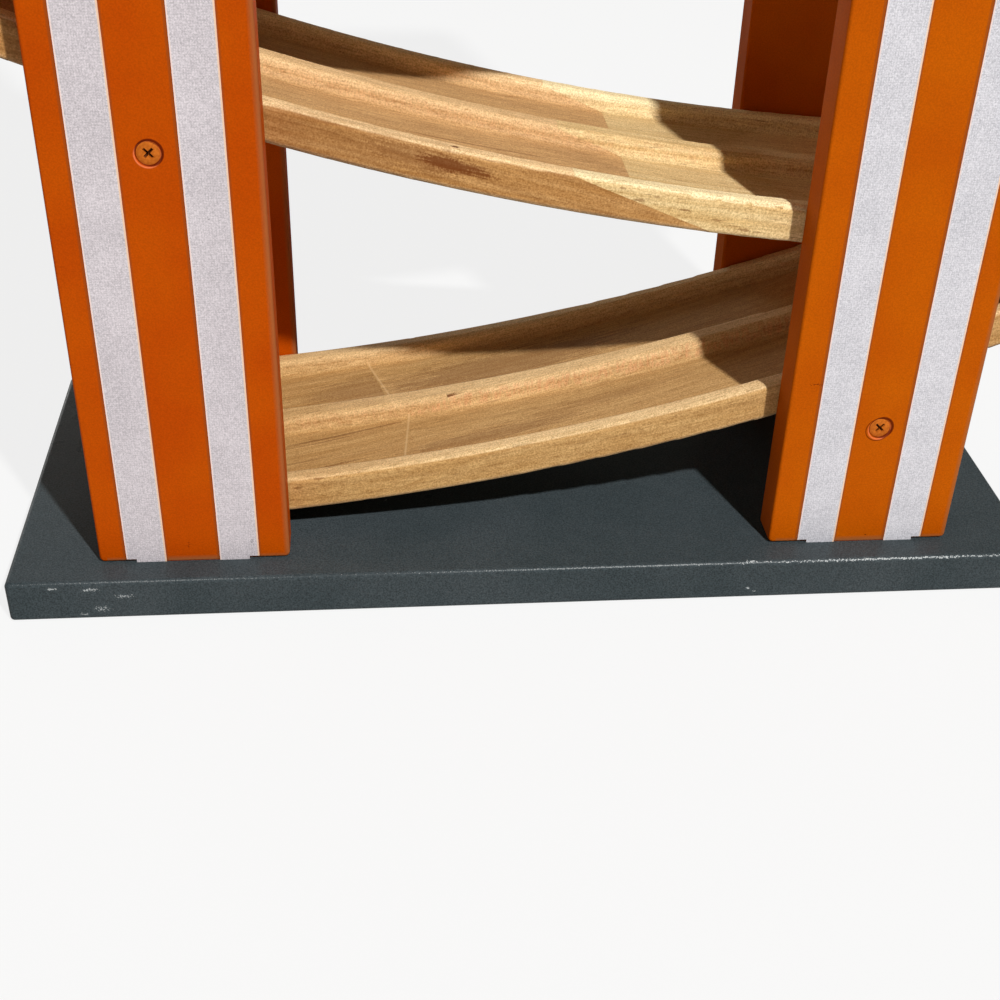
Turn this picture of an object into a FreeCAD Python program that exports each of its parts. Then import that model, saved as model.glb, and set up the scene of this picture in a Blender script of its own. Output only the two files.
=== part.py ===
import FreeCAD, Part
import math
import os

# A wooden ramp racer: four two-lane ramps between four striped posts on a base board.
# The frame: +X to the right along the ramps, +Y to the back, +Z up, millimetres.
# The origin is the centre of the base board's underside.

Vec = FreeCAD.Vector

# Base board
BASE_LENGTH = 416.5
BASE_DEPTH = 167.2
BASE_THICKNESS = 18.0
BASE_EDGE_RADIUS = 1.8

# Posts: four boards, two in front of the ramps and two behind
TOWER_LENGTH = 346.0
POST_WIDTH = 75.0
POST_THICKNESS = 15.5
POST_HEIGHT = 482.0
POST_CORNER_RADIUS = 2.0
POST_EDGE_RADIUS = 1.2
TENON_WIDTH = 44.5
TENON_DEPTH = 12.0
SHOULDER_GAP = 0.3

# White stripes, two on each post's outer face
STRIPE_WIDTH = 15.6
STRIPE_INSET = 11.35
STRIPE_THICKNESS = 0.3

# How far tenons and stripes sit from a post's middle, towards the tower's end
OUTWARD_SHIFT = 0.75

# Ramps: arcs of a ring, seen from the front, rising towards their high ends
LEVELS = 4
LEVEL_PITCH = 114.5
RAMP_WIDTH = 110.0
RAMP_THICKNESS = 14.5
RAMP_RADIUS = 1100.0
RAMP_LOWEST_X = -218.0
RAMP_CLEARANCE = 5.4
RAMP_HIGH_END_X = 195.8

# Section of a ramp: two lanes between three ridges
LANE_DEPTH = 6.7
SIDE_RIDGE_FLAT = 3.5
MIDDLE_RIDGE_FLAT = 5.5
OUTER_TOP_RADIUS = 2.5
OUTER_BOTTOM_RADIUS = 1.5
RIDGE_RADIUS = 3.0
COVE_RADIUS = 3.0

# Scarf joints, one in each ramp: x where the glue plane would meet the ramp's top, x where it would
# meet the underside, how far the plane runs along x for each unit of y, and the depth of the nib,
# square to the ramp, that ends the plane at each face so that no board runs out to a feather edge
SCARF_JOINTS = (
    (-23.0, -84.0, -0.16, 1.6),
    (-5.0, -66.0, 0.0, 0.8),
    (-30.0, -91.0, 0.08, 0.8),
    (6.0, -55.0, 0.0, 0.8),
)

# Cross rails, one under each ramp's high end
RAIL_X = 136.3
RAIL_WIDTH = 18.0
RAIL_BELOW_SCREW = 9.5
RAIL_EDGE_RADIUS = 1.5
RAIL_SCREW_HEIGHT = 54.1

# End stops across the high ends
STOP_THICKNESS = 12.0
STOP_HEIGHT = 46.0
STOP_CORNER_RADIUS = 6.0
STOP_EDGE_RADIUS = 1.5

# Cross-slotted countersunk wood screws
HEAD_RADIUS = 4.2
HEAD_TO_RIM = 0.65
SHANK_RADIUS = 2.0
SCREW_TIP = 4.0
SLOT_LENGTH = 4.8
SLOT_WIDTH = 1.1
SLOT_DEPTH = 1.5
RAIL_SCREW_LENGTH = 38.0
BASE_SCREW_LENGTH = 38.0
STOP_SCREW_LENGTH = 30.0
BASE_SCREW_SPREAD = 12.0
STOP_SCREW_INSET = 4.7

# Dowels that hold the low ends to the posts
DOWEL_RADIUS = 2.5
DOWEL_IN_POST = 9.0
DOWEL_IN_RAMP = 11.0
DOWEL_ABOVE_UNDERSIDE = 4.2
DOWEL_FROM_LOW_END = (13.0, 28.0)

# Slack for picking edges by where they lie
SLACK = 0.1

# Worked out from the dimensions above
POST_X = (TOWER_LENGTH - POST_WIDTH) / 2
TENON_X = POST_X + OUTWARD_SHIFT
POST_FACE_Y = RAMP_WIDTH / 2 + POST_THICKNESS
POST_Y = (RAMP_WIDTH + POST_THICKNESS) / 2
SHOULDER_Z = BASE_THICKNESS + SHOULDER_GAP
POST_TOP_Z = BASE_THICKNESS + POST_HEIGHT
RING_Z = BASE_THICKNESS + RAMP_CLEARANCE + RAMP_RADIUS
LOW_END_X = -POST_X
UP = Vec(0, 0, 1)
RING_AXIS = Vec(0, -1, 0)


def box(x, y, z):
    """A box from its (low, high) pairs."""
    return Part.makeBox(x[1] - x[0], y[1] - y[0], z[1] - z[0], Vec(x[0], y[0], z[0]))


def about(middle, width):
    """The (low, high) pair of a width about its middle."""
    return middle - width / 2, middle + width / 2


def filleted(shape, radius, chosen):
    """The shape with the edges that the test chooses rounded."""
    return shape.makeFillet(radius, [edge for edge in shape.Edges if chosen(edge.BoundBox)])


def half_turn(shape):
    """A copy turned half round about the tower's upright axis."""
    turned = shape.copy()
    turned.rotate(Vec(0, 0, 0), UP, 180)
    return turned


def outline(corners):
    """A closed wire in the XZ plane from (x, z, radius) corners, each rounded by its radius."""
    count = len(corners)
    points = [Vec(x, 0, z) for x, z, _ in corners]
    arcs = []
    for i, (_, _, radius) in enumerate(corners):
        before = (points[i - 1] - points[i]).normalize()
        after = (points[(i + 1) % count] - points[i]).normalize()
        inward = (before + after).normalize()
        half_angle = before.getAngle(after) / 2
        reach = radius / math.tan(half_angle)
        middle = points[i] + inward * (radius / math.sin(half_angle) - radius)
        arcs.append((points[i] + before * reach, middle, points[i] + after * reach))
    edges = []
    for i, (_, _, radius) in enumerate(corners):
        if radius > 0:
            edges.append(Part.Arc(*arcs[i]).toShape())
        edges.append(Part.LineSegment(arcs[i][2], arcs[(i + 1) % count][0]).toShape())
    return Part.Wire(edges)


# Ramps

def quarter(centre_y, centre_h, radius, start_degrees, turn_degrees):
    """A quarter arc of the ramp's section, as (y, height) triples of start, middle and end."""
    points = []
    for part in (0, 0.5, 1):
        angle = math.radians(start_degrees + part * turn_degrees)
        points.append((centre_y + radius * math.cos(angle), centre_h + radius * math.sin(angle)))
    return points


def half_section():
    """The rear half of a ramp's section, from the middle of its underside round to its top."""
    side = RAMP_WIDTH / 2
    top = RAMP_THICKNESS
    floor = top - LANE_DEPTH
    side_flat = side - OUTER_TOP_RADIUS - SIDE_RIDGE_FLAT
    side_foot = side_flat - RIDGE_RADIUS - COVE_RADIUS
    middle_flat = MIDDLE_RIDGE_FLAT / 2
    middle_foot = middle_flat + RIDGE_RADIUS + COVE_RADIUS
    arcs = (
        quarter(side - OUTER_BOTTOM_RADIUS, OUTER_BOTTOM_RADIUS, OUTER_BOTTOM_RADIUS, -90, 90),
        quarter(side - OUTER_TOP_RADIUS, top - OUTER_TOP_RADIUS, OUTER_TOP_RADIUS, 0, 90),
        quarter(side_flat, top - RIDGE_RADIUS, RIDGE_RADIUS, 90, 90),
        quarter(side_foot, floor + COVE_RADIUS, COVE_RADIUS, 0, -90),
        quarter(middle_foot, floor + COVE_RADIUS, COVE_RADIUS, -90, -90),
        quarter(middle_flat, top - RIDGE_RADIUS, RIDGE_RADIUS, 0, 90),
    )
    segments = []
    last = (0.0, 0.0)
    for arc in arcs:
        segments.append((last, arc[0]))
        segments.append(arc)
        last = arc[2]
    segments.append((last, (0.0, top)))
    return segments


def section_edge(segment, side):
    """An edge of the section below the ring's axis, on the rear (1) or front (-1) side."""
    points = [Vec(RAMP_LOWEST_X, side * y, RING_Z - RAMP_RADIUS + h) for y, h in segment]
    if len(points) == 2:
        return Part.LineSegment(*points).toShape()
    return Part.Arc(*points).toShape()


def ring_angle(x):
    """The angle, in degrees, by which the ring turns to bring its lowest line to x."""
    return math.degrees(math.asin((x - RAMP_LOWEST_X) / RAMP_RADIUS))


def on_ring(shape, x):
    """A shape drawn at the ring's lowest line, swung along the ring to x."""
    swung = shape.copy()
    swung.rotate(Vec(RAMP_LOWEST_X, 0, RING_Z), RING_AXIS, ring_angle(x))
    return swung


def ramp_blank():
    """The lowest ramp in one piece."""
    edges = [section_edge(segment, side) for side in (1, -1) for segment in half_section()]
    section = Part.Face(Part.Wire(Part.sortEdges(edges)[0]))
    start = on_ring(section, LOW_END_X)
    sweep = ring_angle(RAMP_HIGH_END_X) - ring_angle(LOW_END_X)
    return start.revolve(Vec(RAMP_LOWEST_X, 0, RING_Z), RING_AXIS, sweep)


def in_ramp(x, height):
    """(x, z, 0) of a point at a height above the underside, square to the ramp from its line at x."""
    angle = math.radians(ring_angle(x))
    radius = RAMP_RADIUS - height
    return RAMP_LOWEST_X + radius * math.sin(angle), RING_Z - radius * math.cos(angle), 0


def low_side_of_scarf(x_top, x_bottom, skew, nib):
    """The space on the low end's side of a scarf joint's glue face."""
    inset = (x_top - x_bottom) * nib / RAMP_THICKNESS
    nib_low = x_bottom + inset
    nib_high = x_top - inset
    reach = BASE_THICKNESS
    corners = (
        in_ramp(2 * LOW_END_X, -reach),
        in_ramp(nib_low, -reach),
        in_ramp(nib_low, nib),
        in_ramp(nib_high, RAMP_THICKNESS - nib),
        in_ramp(nib_high, RAMP_THICKNESS + reach),
        in_ramp(2 * LOW_END_X, RAMP_THICKNESS + reach),
    )
    across = Vec(RAMP_WIDTH * skew, RAMP_WIDTH, 0)
    face = Part.Face(outline(corners))
    face.translate(-across)
    return face.extrude(2 * across)


def ramp_boards(level, holes):
    """The two boards of a ramp, joined by a scarf, with the holes of its fasteners."""
    blank = ramp_blank().cut(holes)
    low_side = low_side_of_scarf(*SCARF_JOINTS[level])
    return blank.common(low_side), blank.cut(low_side)


# Fasteners

def cross_slot():
    """The cross slot of a screw head whose top faces +Z at the origin."""
    half = SLOT_LENGTH / 2
    narrow = SLOT_WIDTH / 2
    bar = box((-half, half), (-narrow, narrow), (-SLOT_DEPTH, 1.0))
    crossed = box((-narrow, narrow), (-half, half), (-SLOT_DEPTH, 1.0))
    return bar.fuse(crossed)


def screw(length):
    """A countersunk screw with the top of its head at the origin, pointing down -Z."""
    cone = HEAD_RADIUS - SHANK_RADIUS
    head = Part.makeCone(HEAD_RADIUS, SHANK_RADIUS, cone, Vec(0, 0, 0), -UP)
    shank = Part.makeCylinder(SHANK_RADIUS, length - cone - SCREW_TIP, Vec(0, 0, -cone), -UP)
    tip = Part.makeCone(SHANK_RADIUS, 0.4, SCREW_TIP, Vec(0, 0, SCREW_TIP - length), -UP)
    return head.fuse([shank, tip]).removeSplitter().cut(cross_slot())


def screw_hole(length):
    """The hole that a screw leaves, with its countersink a little deeper than the head."""
    rim = HEAD_RADIUS + HEAD_TO_RIM
    cone = rim - SHANK_RADIUS
    sink = Part.makeCone(rim, SHANK_RADIUS, cone, Vec(0, 0, HEAD_TO_RIM), -UP)
    mouth = Part.makeCylinder(rim, 2.0, Vec(0, 0, HEAD_TO_RIM), UP)
    shank = Part.makeCylinder(SHANK_RADIUS, length - SCREW_TIP, Vec(0, 0, 0), -UP)
    tip = Part.makeCone(SHANK_RADIUS, 0.4, SCREW_TIP, Vec(0, 0, SCREW_TIP - length), -UP)
    return mouth.fuse([sink, shank, tip])


def aimed(shape, place, out):
    """A fastener moved to a place, with its head facing the out direction."""
    moved = shape.copy()
    turn = FreeCAD.Rotation(UP, out)
    moved.Placement = FreeCAD.Placement(place, turn).multiply(moved.Placement)
    return moved


def rail_screw_places():
    """Head tops of the lowest rail's two screws, with the way each faces."""
    height = BASE_THICKNESS + RAIL_SCREW_HEIGHT
    face = POST_FACE_Y - HEAD_TO_RIM
    return [(Vec(RAIL_X, side * face, height), Vec(0, side, 0)) for side in (-1, 1)]


def base_screw_places(x_side, y_side):
    """Head tops of the two screws from under the base into one post."""
    middle = x_side * TENON_X
    place_x = (middle - BASE_SCREW_SPREAD, middle + BASE_SCREW_SPREAD)
    return [(Vec(x, y_side * POST_Y, HEAD_TO_RIM), Vec(0, 0, -1)) for x in place_x]


def stop_screws(maker):
    """Screws or holes through the lowest end stop into its ramp's three ridges."""
    edge = RAMP_WIDTH / 2 - STOP_SCREW_INSET
    x = RAMP_LOWEST_X + STOP_THICKNESS - HEAD_TO_RIM
    z = RING_Z - RAMP_RADIUS + RAMP_THICKNESS / 2
    row = [aimed(maker(STOP_SCREW_LENGTH), Vec(x, y, z), Vec(1, 0, 0)) for y in (-edge, 0, edge)]
    return [on_ring(one, RAMP_HIGH_END_X) for one in row]


def low_dowels():
    """The four dowels of the lowest ramp's low end."""
    z = RING_Z - RAMP_RADIUS + DOWEL_ABOVE_UNDERSIDE
    length = DOWEL_IN_POST + DOWEL_IN_RAMP
    dowels = []
    for side in (-1, 1):
        start = Vec(RAMP_LOWEST_X, side * (RAMP_WIDTH / 2 - DOWEL_IN_RAMP), z)
        dowel = Part.makeCylinder(DOWEL_RADIUS, length, start, Vec(0, side, 0))
        dowels += [on_ring(dowel, LOW_END_X + shift) for shift in DOWEL_FROM_LOW_END]
    return dowels


# Rails and end stops

def cross_rail():
    """The rail under the lowest ramp's high end, its top shaped to the ramp's underside."""
    bottom = BASE_THICKNESS + RAIL_SCREW_HEIGHT - RAIL_BELOW_SCREW
    rail = box(about(RAIL_X, RAIL_WIDTH), about(0, RAMP_WIDTH), (bottom, bottom + 2 * RAIL_WIDTH))
    rail = filleted(rail, RAIL_EDGE_RADIUS,
                    lambda b: b.ZMax < bottom + SLACK and b.XLength < SLACK)
    centre = Vec(RAMP_LOWEST_X, -RAMP_WIDTH, RING_Z)
    above = Part.makeCylinder(RAMP_RADIUS, 2 * RAMP_WIDTH, centre, Vec(0, 1, 0))
    return rail.cut(above)


def end_stop():
    """The board across the lowest ramp's high end, square to the ramp."""
    low = RING_Z - RAMP_RADIUS
    high = low + STOP_HEIGHT
    x = (RAMP_LOWEST_X, RAMP_LOWEST_X + STOP_THICKNESS)
    board = box(x, about(0, RAMP_WIDTH), (low, high))
    board = filleted(board, STOP_CORNER_RADIUS,
                     lambda b: b.ZMin > high - SLACK and b.YLength < SLACK)
    board = filleted(board, STOP_EDGE_RADIUS,
                     lambda b: b.XLength < SLACK and not (b.ZMax < low + SLACK and b.XMin < x[0] + SLACK))
    return on_ring(board, RAMP_HIGH_END_X)


# Posts, stripes and base

def post_outline(x_side):
    """A post's front outline: shoulders, and a tenon into the base."""
    left, right = about(x_side * POST_X, POST_WIDTH)
    tenon_left, tenon_right = about(x_side * TENON_X, TENON_WIDTH)
    bottom = BASE_THICKNESS - TENON_DEPTH
    return outline((
        (tenon_left, bottom, 0),
        (tenon_right, bottom, 0),
        (tenon_right, SHOULDER_Z, 0),
        (right, SHOULDER_Z, POST_CORNER_RADIUS),
        (right, POST_TOP_Z, POST_CORNER_RADIUS),
        (left, POST_TOP_Z, POST_CORNER_RADIUS),
        (left, SHOULDER_Z, POST_CORNER_RADIUS),
        (tenon_left, SHOULDER_Z, 0),
    ))


def post(x_side, y_side, holes):
    """One post, its outer face flush with its tenon, and its edges eased above the base."""
    board = Part.Face(post_outline(x_side)).extrude(Vec(0, POST_THICKNESS, 0))
    board = filleted(board, POST_EDGE_RADIUS,
                     lambda b: b.YLength < SLACK and b.ZMin > SHOULDER_Z - SLACK)
    board.translate(Vec(0, y_side * POST_Y - POST_THICKNESS / 2, 0))
    return board.cut(holes)


def stripes(x_side, y_side):
    """The two white stripes on a post's outer face, each with the step of the post's shoulder."""
    outer = y_side * POST_FACE_Y
    y = sorted((outer, outer + y_side * STRIPE_THICKNESS))
    shoulder_z = SHOULDER_Z + POST_EDGE_RADIUS
    top = POST_TOP_Z - POST_EDGE_RADIUS
    middle = x_side * TENON_X
    near = POST_WIDTH / 2 - STRIPE_INSET - STRIPE_WIDTH
    step = TENON_WIDTH / 2
    pair = []
    for side in (-1, 1):
        on_tenon = sorted((middle + side * near, middle + side * step))
        on_shoulder = sorted((middle + side * step, middle + side * (near + STRIPE_WIDTH)))
        strip = box(on_tenon, y, (BASE_THICKNESS, top))
        pair.append(strip.fuse(box(on_shoulder, y, (shoulder_z, top))).removeSplitter())
    return pair


def base_board(holes):
    """The base board, with a blind mortise for each post."""
    board = box(about(0, BASE_LENGTH), about(0, BASE_DEPTH), (0, BASE_THICKNESS))
    board = board.makeFillet(BASE_EDGE_RADIUS, board.Edges)
    depth = (BASE_THICKNESS - TENON_DEPTH, 2 * BASE_THICKNESS)
    mortises = []
    for x_side in (-1, 1):
        for y_side in (-1, 1):
            across = about(y_side * POST_Y, POST_THICKNESS)
            mortises.append(box(about(x_side * TENON_X, TENON_WIDTH), across, depth))
    return board.cut(mortises + holes)


def at_level(shapes, level):
    """Shapes of the lowest ramp moved up to a level, turned half round on every other one."""
    placed = []
    for shape in shapes:
        one = half_turn(shape) if level % 2 else shape.copy()
        one.translate(Vec(0, 0, level * LEVEL_PITCH))
        placed.append(one)
    return placed


def save(name, shapes):
    """Write a node's solids to its STEP file."""
    solids = [solid for shape in shapes for solid in shape.Solids]
    whole = solids[0] if len(solids) == 1 else Part.makeCompound(solids)
    whole.exportStep("parts/" + name + ".step")
    valid = all(solid.isValid() for solid in solids)
    print(f"{name}: {len(solids)} solid(s), {sum(s.Volume for s in solids) / 1000:.2f} cm3, valid {valid}")


def main():
    os.makedirs("parts", exist_ok=True)
    rail_screws = [aimed(screw(RAIL_SCREW_LENGTH), *place) for place in rail_screw_places()]
    rail_holes = [aimed(screw_hole(RAIL_SCREW_LENGTH), *place) for place in rail_screw_places()]
    dowels = low_dowels()
    stop_holes = stop_screws(screw_hole)
    post_holes = []
    for level in range(LEVELS):
        post_holes += at_level(rail_holes + dowels, level)
        name = f"_{level + 1}"
        low_board, high_board = ramp_boards(level, dowels + stop_holes)
        save("ramp" + name + "_low_board", at_level([low_board], level))
        save("ramp" + name + "_high_board", at_level([high_board], level))
        save("cross_rail" + name, at_level([cross_rail().cut(rail_holes)], level))
        save("end_stop" + name, at_level([end_stop().cut(stop_holes)], level))
        save("rail_screws" + name, at_level(rail_screws, level))
        save("end_stop_screws" + name, at_level(stop_screws(screw), level))
        save("low_end_dowels" + name, at_level(dowels, level))
    base_holes = []
    for y_side, depth_name in ((-1, "front"), (1, "rear")):
        for x_side, side_name in ((-1, "left"), (1, "right")):
            name = depth_name + "_" + side_name
            places = base_screw_places(x_side, y_side)
            screws = [aimed(screw(BASE_SCREW_LENGTH), *place) for place in places]
            holes = [aimed(screw_hole(BASE_SCREW_LENGTH), *place) for place in places]
            base_holes += holes
            save("post_" + name, [post(x_side, y_side, post_holes + holes)])
            save("stripes_" + name, stripes(x_side, y_side))
            save("base_screws_" + name, screws)
    save("base_board", [base_board(base_holes)])


main()
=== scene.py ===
# %% [markdown]
# # A wooden ramp racer
#
# Four grooved pine ramps zigzag between four striped posts on a slate-grey base board, and small
# cars roll down them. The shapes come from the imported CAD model. This lesson gives them their
# paint, film and grain, puts finer screws where the plain ones are, and sets up the photograph.

# %% Load the CAD frame
import math

import bpy
from mathutils import Matrix, Vector


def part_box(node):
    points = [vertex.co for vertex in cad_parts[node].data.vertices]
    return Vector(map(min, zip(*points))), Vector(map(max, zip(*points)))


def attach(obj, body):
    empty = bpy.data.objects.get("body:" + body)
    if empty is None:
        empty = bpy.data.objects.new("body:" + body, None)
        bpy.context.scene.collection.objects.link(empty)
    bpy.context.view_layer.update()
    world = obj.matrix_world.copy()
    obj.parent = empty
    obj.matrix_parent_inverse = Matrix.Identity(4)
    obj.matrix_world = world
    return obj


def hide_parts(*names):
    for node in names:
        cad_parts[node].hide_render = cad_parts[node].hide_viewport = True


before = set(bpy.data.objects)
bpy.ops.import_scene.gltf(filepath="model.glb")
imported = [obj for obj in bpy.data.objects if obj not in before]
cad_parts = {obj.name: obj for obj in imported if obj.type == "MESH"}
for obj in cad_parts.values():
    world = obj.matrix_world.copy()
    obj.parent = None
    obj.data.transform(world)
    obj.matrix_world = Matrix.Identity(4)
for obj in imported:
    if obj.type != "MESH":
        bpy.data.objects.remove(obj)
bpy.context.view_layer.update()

MM = 0.001

# %% [markdown]
# ## The camera
#
# The photograph was taken from a little above, left of the middle and close by, so the posts lean
# outwards. The lens and the place were worked out from the corners of the base and the posts,
# whose sizes are known.

# %% Camera
def new_object(name, data):
    """An object in the scene."""
    thing = bpy.data.objects.new(name, data)
    bpy.context.scene.collection.objects.link(thing)
    return thing


camera_data = bpy.data.cameras.new("camera")
camera_data.sensor_fit = "HORIZONTAL"
camera_data.sensor_width = 36.0
camera_data.lens = 52.53
camera = new_object("camera", camera_data)
camera_place = Vector((-63.1, -550.9, 364.6)) * MM
camera_right = Vector((0.99605, -0.08523, 0.02509)).normalized()
camera_back = Vector((-0.0848, -0.8280, 0.5543)).normalized()
camera_up = camera_back.cross(camera_right).normalized()
camera_right = camera_up.cross(camera_back)
camera_turn = Matrix((camera_right, camera_up, camera_back)).transposed()
camera.matrix_world = Matrix.Translation(camera_place) @ camera_turn.to_4x4()
bpy.context.scene.camera = camera
print("camera pitch, degrees:", round(math.degrees(math.asin(-camera_back.z)), 1))

# %% [markdown]
# ## Small helpers
#
# Hex colours are written as the eye sees them, and shaders want linear light, so one function
# turns them. Another adds a node with its settings and whatever feeds its sockets, which keeps a
# node tree readable from top to bottom.

# %% Colours and nodes
def linear(hex_colour):
    """A hex colour such as #BE5003 as the linear RGBA that shaders use."""
    channels = [int(hex_colour[place:place + 2], 16) / 255 for place in (1, 3, 5)]
    return [c / 12.92 if c <= 0.04045 else ((c + 0.055) / 1.055) ** 2.4 for c in channels] + [1.0]


def feed(tree, socket, value):
    """Give a socket a value, or a link from a socket or from a node's first live output."""
    if isinstance(value, bpy.types.Node):
        value = next(output for output in value.outputs if output.enabled)
    if isinstance(value, bpy.types.NodeSocket):
        tree.links.new(value, socket)
    else:
        socket.default_value = value


def add(tree, kind, *inputs, **settings):
    """Add a node.

    kind: its type, where "ShaderNode" is left out, and after a space the operation of a maths
    node or the data type of a mix. inputs: what the node's live sockets are fed, in their order,
    or one dictionary with their names. A map range takes the value, the range it comes from and
    the range it goes to, and a noise takes the place, the scale and the detail.
    """
    kind, _, choice = kind.partition(" ")
    node = tree.nodes.new(kind if "Node" in kind else "ShaderNode" + kind)
    if choice:
        settings["data_type" if kind == "Mix" else "operation"] = choice
    for name, value in settings.items():
        setattr(node, name, value)
    live = [socket for socket in node.inputs if socket.enabled]
    if inputs and isinstance(inputs[0], dict):
        by_name = {socket.name: socket for socket in reversed(live)}
        for name, value in inputs[0].items():
            feed(tree, by_name[name], value)
    else:
        for place, value in enumerate(inputs):
            feed(tree, live[place], value)
    return node


print("orange in linear light:", [round(c, 3) for c in linear("#BE5003")])

# %% [markdown]
# ## The studio
#
# The shadows of the two front posts lie at different angles on the base, so the lamp was near.
# Lines from the shadows back over the edges that cast them meet two metres away: in front, to the
# right and high up. A lamp stands there. Real light would fade along the toy from so near, but
# its brightness hardly changes in the picture, so the lamp's strength is made the same at any
# distance. A weak, low lamp behind keeps the back readable.
#
# The floor is plain pale paper. The camera sees it mixed with plain white, so the surroundings
# are white and the toy still stands in its own soft shadow. The surroundings are white to the
# camera too, but they light the toy, and are mirrored by it, only as a dim and slightly warm room.

# %% Floor, lamps and surroundings
FLOOR_SIZE = 24.0
FLOOR_DROP = 0.0002
FLOOR_WHITENESS = 0.84
FILL_LIGHT = 0.13


def studio_paper():
    """Matte pale paper. It looks whiter to the camera than its light on the toy would make it."""
    material = bpy.data.materials.new("studio_paper")
    material.use_nodes = True
    tree = material.node_tree
    paper = tree.nodes["Principled BSDF"]
    paper.inputs["Base Color"].default_value = linear("#CFCFCD")
    paper.inputs["Roughness"].default_value = 0.9
    paper.inputs["Specular IOR Level"].default_value = 0.1
    glow = add(tree, "Emission", {"Color": linear("#FFFFFF")})
    path = add(tree, "LightPath")
    share = add(tree, "Math MULTIPLY", path.outputs["Is Camera Ray"], FLOOR_WHITENESS)
    mixed = add(tree, "MixShader", share, paper, glow)
    feed(tree, tree.nodes["Material Output"].inputs["Surface"], mixed)
    return material


floor_mesh = bpy.data.meshes.new("floor")
half = FLOOR_SIZE / 2
floor_mesh.from_pydata(
    [(x, y, -FLOOR_DROP) for x, y in ((-half, -half), (half, -half), (half, half), (-half, half))],
    [], [(0, 1, 2, 3)])
floor_mesh.materials.append(studio_paper())
floor = new_object("floor", floor_mesh)

key_data = bpy.data.lights.new("key", "POINT")
key_data.energy = 43.0
key_data.shadow_soft_size = 0.03
key_data.use_nodes = True
key_tree = key_data.node_tree
even = add(key_tree, "LightFalloff", {"Strength": 1.0}).outputs["Constant"]
feed(key_tree, key_tree.nodes["Emission"].inputs["Strength"], even)
key = new_object("key", key_data)
key.location = Vector((495.0, -1245.0, 1500.0)) * MM

back_data = bpy.data.lights.new("back", "SUN")
back_data.energy = 0.7
back_data.angle = math.radians(30.0)
back = new_object("back", back_data)
back.rotation_euler = Vector((-0.35, 0.92, 0.15)).to_track_quat("Z", "Y").to_euler()

world = bpy.data.worlds.new("surroundings")
bpy.context.scene.world = world
world.use_nodes = True
sky = world.node_tree
sky.nodes.clear()
path = add(sky, "LightPath")
seen = add(sky, "Math MAXIMUM", path.outputs["Is Camera Ray"], path.outputs["Is Transmission Ray"])
strength = add(sky, "Math MAXIMUM", seen, FILL_LIGHT)
tint = add(sky, "Mix RGBA", seen, linear("#FFF5DE"), linear("#FFFFFF"))
glow = add(sky, "Background", {"Color": tint, "Strength": strength})
add(sky, "OutputWorld", {"Surface": glow})

bpy.context.scene.view_settings.view_transform = "Standard"

# %% [markdown]
# ## Pine
#
# Each ramp is milled from two radiata pine boards. Pine is pale and soft: every year leaves a
# broad pale band and a thin brown one, so a sawn face shows stripes where the rings run square to
# it, and long flames where they lie nearly flat. Fine fibres, short dark resin lines and slow
# changes of tone lie over that.
#
# A flat picture of grain would show the same stripes on every face. Rings worked out in the
# solid, from how far each point is from the log's heart, cross every edge and show end grain on
# the ends, as in sawn wood. The rings' space is turned to each board, because its grain runs
# straight along the board and not round the ramp's curve.

# %% Where a ramp's boards lie
RAMP_RADIUS = 1100.0
RAMP_LOWEST_X = -218.0
RING_Z = 1123.4
LEVEL_PITCH = 114.5
RAMP_THICKNESS = 14.5
LANE_HEIGHT = 7.8


def turned(level):
    """Every second ramp is turned half round: -1 for those, 1 for the others."""
    return -1 if level % 2 else 1


def on_ramp(level, x, height=0.0):
    """(x, z) in mm of a point above a ramp's underside, and the ramp's slope there in degrees."""
    angle = math.asin((x - RAMP_LOWEST_X) / RAMP_RADIUS)
    radius = RAMP_RADIUS - height
    x_there = turned(level) * (RAMP_LOWEST_X + radius * math.sin(angle))
    z_there = RING_Z - radius * math.cos(angle) + level * LEVEL_PITCH
    return x_there, z_there, turned(level) * math.degrees(angle)


print("slope in the middle of the lowest ramp:", round(on_ramp(0, 0.0)[2], 1), "degrees")

# %% [markdown]
# ## What the materials share
#
# A material reads each point's place on the toy, in mm, so its pattern has a real size and runs
# on over every edge. Its marks are soft spots: how far a point is from the spot's middle says how
# much of the mark shows. Its shader gets the colour, and small bumps that break up reflections.

# %% Start a material, place a spot, set a surface
def start_material(name):
    """A new material, its tree and its surface shader, and each point's place on the toy in mm."""
    material = bpy.data.materials.new(name)
    material.use_nodes = True
    tree = material.node_tree
    spot = add(tree, "TexCoord").outputs["Object"]
    in_mm = add(tree, "VectorMath SCALE", spot, 1 / MM)
    return material, tree, tree.nodes["Principled BSDF"], in_mm


def spot_distance(tree, point, place, half_sizes):
    """How far a point is from a spot's middle, where 1 is the spot's rim."""
    away = add(tree, "VectorMath SUBTRACT", point, place)
    away = add(tree, "VectorMath DIVIDE", away, half_sizes)
    return add(tree, "VectorMath LENGTH", away)


def apart(tree, one, other):
    """How far two values are from each other."""
    return add(tree, "Math ABSOLUTE", add(tree, "Math SUBTRACT", one, other))


def set_surface(tree, surface, inputs, height, strength, depth):
    """Feed the surface shader, and give it bumps of a depth in mm."""
    bump = add(tree, "Bump", {"Height": height, "Strength": strength, "Distance": depth * MM})
    for name, value in {**inputs, "Normal": bump}.items():
        feed(tree, surface.inputs[name], value)


print("materials are measured in units of", MM, "m")

# %% [markdown]
# ## Pine, ring by ring
#
# The finish is a thin clear lacquer, which leaves the wood a dull, even sheen. The moulding cutter
# that cut the lanes left faint ripples across their slopes, pinkish where they cross the grain,
# and a thin pale line of glue shows where two boards meet on a lane's floor.

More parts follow.
